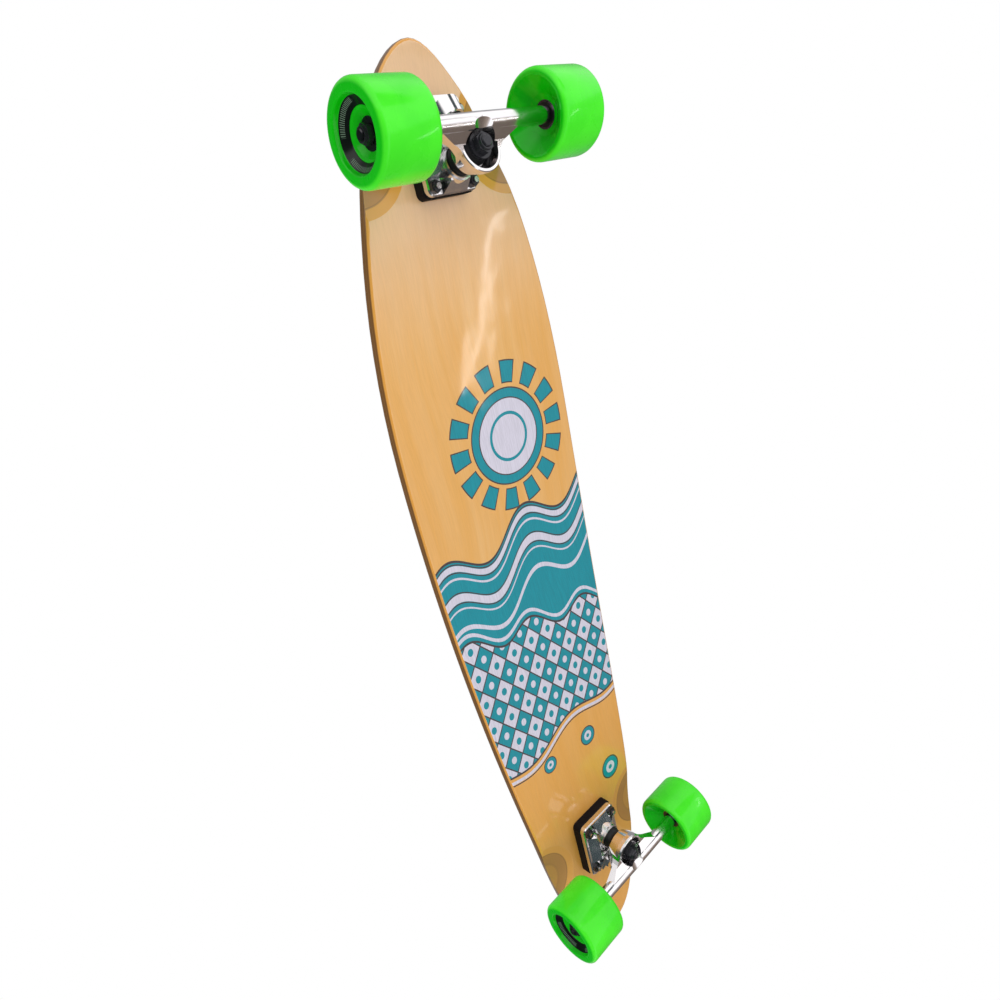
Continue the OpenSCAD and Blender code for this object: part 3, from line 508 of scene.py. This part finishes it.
def makeUrethane(name, tone, printed):
    material, tree, shader, place = newMaterial(name)
    polar = useGroup(tree, wheelPolar, Place=place)
    radius, turn, outward = polar["Radius"], polar["Turn"], polar["Outward"]
    clouds = remap(tree, noise(tree, place, urethane["cloudScale"], 3.0, 0.5), *urethane["cloudRange"])
    colour = blend(tree, clouds, urethane[tone], urethane["deepGreen"])
    # Painted shade: the faces inside the tread, and with them the core, darken to the deeper green
    colour = blend(tree, remap(tree, radius, *urethane["faceShade"]), colour, urethane["deepGreen"])
    if printed:
        outside = calc(tree, "GREATER_THAN", outward, wheelTrack * perMetre)
        band = calc(tree, "MULTIPLY", outside, within(tree, radius, *urethane["bandRadii"]))
        beat = calc(tree, "FRACT", calc(tree, "MULTIPLY", turn, urethane["ticks"]))
        groups = calc(tree, "MULTIPLY", turn, urethane["tickGroups"])
        groups = calc(tree, "FRACT", calc(tree, "ADD", groups, urethane["groupTurn"]))
        span = within(tree, groups, *urethane["groupSpan"])
        tick = calc(tree, "MULTIPLY", calc(tree, "LESS_THAN", beat, urethane["tickShare"]), span)
        tick = calc(tree, "MULTIPLY", tick, within(tree, radius, *urethane["tickRadii"]))
        colour = blend(tree, band, colour, urethane["band"])
        colour = blend(tree, calc(tree, "MULTIPLY", tick, band), colour, urethane["tick"])
        # Fine lathe lines round the tread
        tread = calc(tree, "GREATER_THAN", radius, urethane["treadRadius"])
        lathe = calc(tree, "SINE", calc(tree, "MULTIPLY", outward, urethane["latheLines"]))
        bumpInto(tree, shader, calc(tree, "MULTIPLY", lathe, tread), urethane["latheDepth"], 0.6)
    tree.links.new(colour, shader.inputs["Base Color"])
    addMarks(tree, shader, place, handlingLook["onUrethane"], *urethane["rough"])
    setShader(shader, Coat_Weight=urethane["coat"], Coat_Roughness=urethane["coatRoughness"],
              Specular_IOR_Level=urethane["gloss"])
    return material


# Metals: roughness where clean and where smudged, and the depth of the marks in metres
metals = {
    "castMetal": {"colour": (0.86, 0.84, 0.85, 1), "rough": (0.13, 0.22), "marks": 5e-6, "metal": 1.0},
    "steel": {"colour": (0.60, 0.60, 0.62, 1), "rough": (0.18, 0.34), "marks": 1e-5, "metal": 1.0},
    "bearingSteel": {"colour": (0.10, 0.075, 0.11, 1), "rough": (0.22, 0.34), "marks": 5e-6, "metal": 1.0},
    "blackSteel": {"colour": (0.030, 0.030, 0.037, 1), "rough": (0.22, 0.36), "marks": 1e-5, "metal": 0.35},
    "axleSteel": {"colour": (0.075, 0.07, 0.078, 1), "rough": (0.28, 0.42), "marks": 1e-5, "metal": 1.0},
}


def makeMetal(name):
    look = metals[name]
    material, tree, shader, place = newMaterial(name)
    marks = addMarks(tree, shader, place, handlingLook["onMetal"], *look["rough"])
    haze = useGroup(tree, dust, Place=place, Amount=dustLook["amount"])["Mask"]
    tree.links.new(blend(tree, haze, look["colour"], dustLook["onMetal"]), shader.inputs["Base Color"])
    bumpInto(tree, shader, marks["Height"], look["marks"], 0.6)
    setShader(shader, Metallic=look["metal"])
    return material


# Plastics: roughness where clean and where smudged, and the scale of the grain, which has one depth in metres
plastics = {
    "blackPlastic": {"colour": (0.007, 0.006, 0.008, 1), "rough": (0.55, 0.7), "grain": 700, "gloss": 0.12},
    "blackUrethane": {"colour": (0.008, 0.008, 0.010, 1), "rough": (0.38, 0.55), "grain": 350, "gloss": 0.3},
    "blackShield": {"colour": (0.013, 0.008, 0.014, 1), "rough": (0.28, 0.40), "grain": 900, "gloss": 0.3},
}
grainDepth = 0.00004


def makePlastic(name):
    look = plastics[name]
    material, tree, shader, place = newMaterial(name)
    addMarks(tree, shader, place, handlingLook["onPlastic"], *look["rough"])
    haze = useGroup(tree, dust, Place=place, Amount=dustLook["amount"])["Mask"]
    tree.links.new(blend(tree, haze, look["colour"], dustLook["onPlastic"]), shader.inputs["Base Color"])
    bumpInto(tree, shader, noise(tree, place, look["grain"], 3.0, 0.6), grainDepth, 0.5)
    setShader(shader, Specular_IOR_Level=look["gloss"])
    return material


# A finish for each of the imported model's material slots, and a darker one for axles and speed rings
finishes = {
    "maple": makeMaple(), "grip": makeGrip(),
    "green_urethane": makeUrethane("greenUrethane", "green", True),
    "green_core": makeUrethane("greenCore", "deepGreen", False),
    "cast_metal": makeMetal("castMetal"), "steel": makeMetal("steel"),
    "bearing_steel": makeMetal("bearingSteel"), "black_steel": makeMetal("blackSteel"),
    "black_plastic": makePlastic("blackPlastic"), "black_urethane": makePlastic("blackUrethane"),
    "black_shield": makePlastic("blackShield"),
}
axleFinish = makeMetal("axleSteel")
for name, node in nodes.items():
    slotName = node.material_slots[0].material.name.split(".")[0]
    # Axles and speed rings take the darker axle steel
    darkerSteel = name.endswith(("_axle", "_speed_rings"))
    node.material_slots[0].material = axleFinish if darkerSteel else finishes[slotName]
print("materials on", len(nodes), "nodes")

mergeDistance = 1e-6  # Metres


def shadeSmooth(bm, crease):
    # Smooth all over, with hard edges only where faces meet at more than the crease, in degrees
    for face in bm.faces:
        face.smooth = True
    for edge in bm.edges:
        edge.smooth = len(edge.link_faces) == 2 and edge.calc_face_angle(0.0) < math.radians(crease)


def placePiece(bm, pieceName, body, nodeName, slotName):
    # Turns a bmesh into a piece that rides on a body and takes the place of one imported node
    mesh = bpy.data.meshes.new(pieceName)
    bm.to_mesh(mesh)
    bm.free()
    mesh.materials.append(finishes[slotName])
    piece = bpy.data.objects.new(pieceName, mesh)
    scene.collection.objects.link(piece)
    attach(piece, body)
    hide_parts(nodeName)
    return piece


# Smooth copies of the two laminated sheets, with creases in degrees and reach in metres
sheetForm = {"crease": 35, "wellReach": 0.052, "wellCrease": 4, "underFacing": -0.9, "normalWeight": 80}


def smoothSheet(nodeName, pieceName, body, slotName):
    bm = bmesh.new()
    bm.from_mesh(nodes[nodeName].data)
    bmesh.ops.remove_doubles(bm, verts=bm.verts, dist=mergeDistance)
    bm.normal_update()
    shadeSmooth(bm, sheetForm["crease"])
    # The rims of the wheel wells stay crisp
    for edge in bm.edges:
        under = all(face.normal.z < sheetForm["underFacing"] for face in edge.link_faces)
        if len(edge.link_faces) == 2 and under:
            middle = (edge.verts[0].co + edge.verts[1].co) / 2
            nearWheel = abs(abs(middle.x - midAxles) - halfBase) < sheetForm["wellReach"]
            if nearWheel and edge.calc_face_angle(0.0) > math.radians(sheetForm["wellCrease"]):
                edge.smooth = False
    piece = placePiece(bm, pieceName, body, nodeName, slotName)
    weighted = piece.modifiers.new("weightedNormals", "WEIGHTED_NORMAL")
    weighted.keep_sharp = True
    weighted.weight = sheetForm["normalWeight"]


smoothSheet("deck", "deckBoard", "board", "maple")
smoothSheet("grip_tape", "gripSheet", "board", "grip")
print("sheets smoothed")

# Wheels: the poured tyre and its core, each spun from half a section in millimetres. The outer face steps
# down to its printed band and the core, and the inner face is one deep bowl.
wheelForm = {
    "radius": 35.0, "halfWidth": 25.5, "lip": 5.0,
    "coreRadius": 15.5, "bond": 0.03, "innerJoin": -14.6, "outerJoin": 15.2,
    "bearingSeat": 11.03, "seatEnd": 12.1, "shoulderRadius": 9.5, "shoulderHalf": 5.0,
    "steps": 96, "roundingSteps": 5, "crease": 32,
}


def wheelSections():
    # Each corner: radius, distance outward from the wheel's middle, and rounding
    radius, half, lip = wheelForm["radius"], wheelForm["halfWidth"], wheelForm["lip"]
    core, joint = wheelForm["coreRadius"], wheelForm["coreRadius"] + wheelForm["bond"]
    innerJoin, outerJoin = wheelForm["innerJoin"], wheelForm["outerJoin"]
    seat, seatEnd = wheelForm["bearingSeat"], wheelForm["seatEnd"]
    shoulder, shoulderHalf = wheelForm["shoulderRadius"], wheelForm["shoulderHalf"]
    tyreSection = [
        (joint, innerJoin, 0), (20.0, -18.6, 0), (26.5, -23.6, 3.0), (29.0, -half, 1.6),
        (radius, -half, lip), (radius, half, lip),
        (25.2, half, 1.1), (24.0, 21.2, 1.0), (17.9, 16.9, 0.25), (17.5, 16.0, 0.35), (joint, outerJoin, 0),
    ]
    coreSection = [
        (shoulder, -shoulderHalf, 0), (seat, -shoulderHalf, 0), (seat, -seatEnd, 0), (11.9, -12.6, 0.4),
        (core, innerJoin, 0), (core, outerJoin, 0),
        (12.1, 12.7, 0.5), (seat, seatEnd, 0), (seat, shoulderHalf, 0), (shoulder, shoulderHalf, 0),
    ]
    return {"tyre": tyreSection, "core": coreSection}


def spinSection(section, centre, outward):
    bm = bmesh.new()
    corners = [bm.verts.new((radius / perMetre, outward * along / perMetre, 0))
               for radius, along, rounding in section]
    for corner, after in zip(corners, corners[1:] + corners[:1]):
        bm.edges.new((corner, after))
    for corner, (radius, along, rounding) in zip(corners, section):
        if rounding:
            bmesh.ops.bevel(bm, geom=[corner], offset=rounding / perMetre, offset_type="OFFSET",
                            segments=wheelForm["roundingSteps"], profile=0.5, affect="VERTICES", material=-1)
    bmesh.ops.spin(bm, geom=bm.verts[:] + bm.edges[:], cent=(0, 0, 0), axis=(0, 1, 0), dvec=(0, 0, 0),
                   angle=2 * math.pi, steps=wheelForm["steps"], use_merge=True, use_duplicate=False)
    bmesh.ops.remove_doubles(bm, verts=bm.verts, dist=mergeDistance)
    bmesh.ops.recalc_face_normals(bm, faces=bm.faces)
    bmesh.ops.translate(bm, verts=bm.verts, vec=centre)
    shadeSmooth(bm, wheelForm["crease"])
    return bm


sections = wheelSections()
for end in ("front", "rear"):
    for sideName, outward in (("left", 1), ("right", -1)):
        wheel = end + "_" + sideName
        low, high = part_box(wheel + "_tyre")
        for part, slotName in (("tyre", "green_urethane"), ("core", "green_core")):
            bm = spinSection(sections[part], (low + high) / 2, outward)
            pieceName = end + sideName.title() + part.title()
            placePiece(bm, pieceName, wheel + "_wheel", wheel + "_" + part, slotName)
print("wheels spun")

# Camera, below the board and looking up at its underside
cameraView = {
    "place": (0.34317, -0.40504, -0.40203), "lens": 24.75, "sensor": 36, "clipStart": 0.01,
    "right": (-0.22088, 0.71635, -0.66187), "up": (0.90956, 0.39623, 0.12530),
    "back": (0.35201, -0.57433, -0.73908),
}
cameraData = bpy.data.cameras.new("camera")
cameraData.lens = cameraView["lens"]
cameraData.sensor_width = cameraView["sensor"]
cameraData.clip_start = cameraView["clipStart"]
camera = bpy.data.objects.new("camera", cameraData)
scene.collection.objects.link(camera)
axes = Matrix((cameraView["right"], cameraView["up"], cameraView["back"])).transposed()
turned = axes.to_quaternion().to_matrix().to_4x4()
camera.matrix_world = Matrix.Translation(cameraView["place"]) @ turned
scene.camera = camera

# Lamps: where each stands and aims, the run of its longer side, its size and its brightness as seen.
# Only the streak lamp is mirrored, as the long gleam in the varnish.
lamps = {
    "keyBelow": {"place": (1.3, 0.2, -1.3), "aim": (0.1, 0, 0.06), "size": (1.4, 1.4), "glow": 1.6},
    "fillBelow": {"place": (-1.2, -1.2, -1.0), "aim": (-0.1, 0, 0.06), "size": (1.5, 1.2), "glow": 1.5},
    "streak": {"place": (0.075, 0.92, -0.937), "aim": (0.27, 0.02, 0.10), "size": (0.56, 0.036),
               "along": (0.917, 0.396, 0.06), "glow": 7.0},
    "overhead": {"place": (-0.3, -0.8, 2.0), "aim": (0, 0, 0.1), "size": (1.8, 1.8), "glow": 1.2},
}
for name, look in lamps.items():
    lampData = bpy.data.lights.new(name, "AREA")
    lampData.shape = "RECTANGLE"
    lampData.size, lampData.size_y = look["size"]
    lampData.energy = look["glow"] * math.pi * lampData.size * lampData.size_y
    lamp = bpy.data.objects.new(name, lampData)
    scene.collection.objects.link(lamp)
    lamp.visible_glossy = name == "streak"
    back = (Vector(look["place"]) - Vector(look["aim"])).normalized()
    right = Vector(look.get("along", (1, 0, 0)))
    right = (right - back * right.dot(back)).normalized()
    axes = Matrix((right, back.cross(right), back)).transposed()
    lamp.matrix_world = Matrix.Translation(look["place"]) @ axes.to_4x4()

# World: even light on the object, white behind it, and a graded room for gloss to mirror. The room brightens
# across a slanting edge, is grey overhead, and has a dark window and a dark end.
worldLook = {
    "even": 0.68, "white": (1, 1, 1, 1), "slant": 1.3, "edge": -0.726,
    "grades": [(-0.75, (0.16, 0.125, 0.105, 1)), (-0.36, (0.30, 0.24, 0.20, 1)),
               (-0.16, (0.50, 0.43, 0.40, 1)), (-0.05, (1.2, 1.2, 1.25, 1)), (0.25, (1.3, 1.28, 1.28, 1))],
    "above": (0.30, 0.30, 0.31, 1), "aboveRange": (0.0, 0.5),
    "dark": (0.05, 0.07, 0.075, 1), "window": (0.715, 0.432, -0.562), "windowRange": (0.968, 0.987),
    "endAcross": (-0.08, -0.26), "endAlong": (0.52, 0.36),
}


def mixShader(tree, factor, first, second):
    node = tree.nodes.new("ShaderNodeMixShader")
    tree.links.new(factor, node.inputs[0])
    tree.links.new(first, node.inputs[1])
    tree.links.new(second, node.inputs[2])
    return node.outputs[0]


def gradeRoom(tree, toward):
    split = splitUp(tree, toward)
    slanted = calc(tree, "MULTIPLY", split["Y"], worldLook["slant"])
    side = calc(tree, "SUBTRACT", calc(tree, "SUBTRACT", split["X"], slanted), worldLook["edge"])
    grades = worldLook["grades"]
    room = grades[0][1]
    for before, after in zip(grades, grades[1:]):
        room = blend(tree, remap(tree, side, before[0], after[0]), room, after[1])
    room = blend(tree, remap(tree, split["Z"], *worldLook["aboveRange"]), room, worldLook["above"])
    near = vectorCalc(tree, "DOT_PRODUCT", toward, worldLook["window"], "Value")
    room = blend(tree, remap(tree, near, *worldLook["windowRange"]), room, worldLook["dark"])
    darkEnd = calc(tree, "MULTIPLY", remap(tree, split["Y"], *worldLook["endAcross"]),
                   remap(tree, split["X"], *worldLook["endAlong"]))
    return blend(tree, darkEnd, room, worldLook["dark"])


world = bpy.data.worlds.new("studio")
scene.world = world
world.use_nodes = True
tree = world.node_tree
tree.nodes.clear()
leave = tree.nodes.new("ShaderNodeOutputWorld")
paths = tree.nodes.new("ShaderNodeLightPath").outputs
even, mirrored, behind = (tree.nodes.new("ShaderNodeBackground") for _ in range(3))
even.inputs["Color"].default_value = worldLook["white"]
even.inputs["Strength"].default_value = worldLook["even"]
behind.inputs["Color"].default_value = worldLook["white"]
room = gradeRoom(tree, tree.nodes.new("ShaderNodeTexCoord").outputs["Generated"])
tree.links.new(room, mirrored.inputs["Color"])
lit = mixShader(tree, paths["Is Glossy Ray"], even.outputs[0], mirrored.outputs[0])
tree.links.new(mixShader(tree, paths["Is Camera Ray"], lit, behind.outputs[0]), leave.inputs["Surface"])

# Floor: pale from above, and clear from below so that the underside can be seen
floorLook = {"reach": 30, "pale": (0.97, 0.97, 0.97, 1)}
bm = bmesh.new()
bmesh.ops.create_grid(bm, x_segments=1, y_segments=1, size=floorLook["reach"])
mesh = bpy.data.meshes.new("floor")
bm.to_mesh(mesh)
bm.free()
floor = bpy.data.objects.new("floor", mesh)
scene.collection.objects.link(floor)
material = bpy.data.materials.new("paleFloor")
material.use_nodes = True
tree = material.node_tree
tree.nodes.clear()
leave = tree.nodes.new("ShaderNodeOutputMaterial")
matt = tree.nodes.new("ShaderNodeBsdfDiffuse")
matt.inputs["Color"].default_value = floorLook["pale"]
clear = tree.nodes.new("ShaderNodeBsdfTransparent")
below = tree.nodes.new("ShaderNodeNewGeometry").outputs["Backfacing"]
tree.links.new(mixShader(tree, below, matt.outputs[0], clear.outputs[0]), leave.inputs["Surface"])
mesh.materials.append(material)
floor.visible_diffuse = False
floor.visible_glossy = False
floor.visible_transmission = False
floor.visible_shadow = False
print("studio ready")
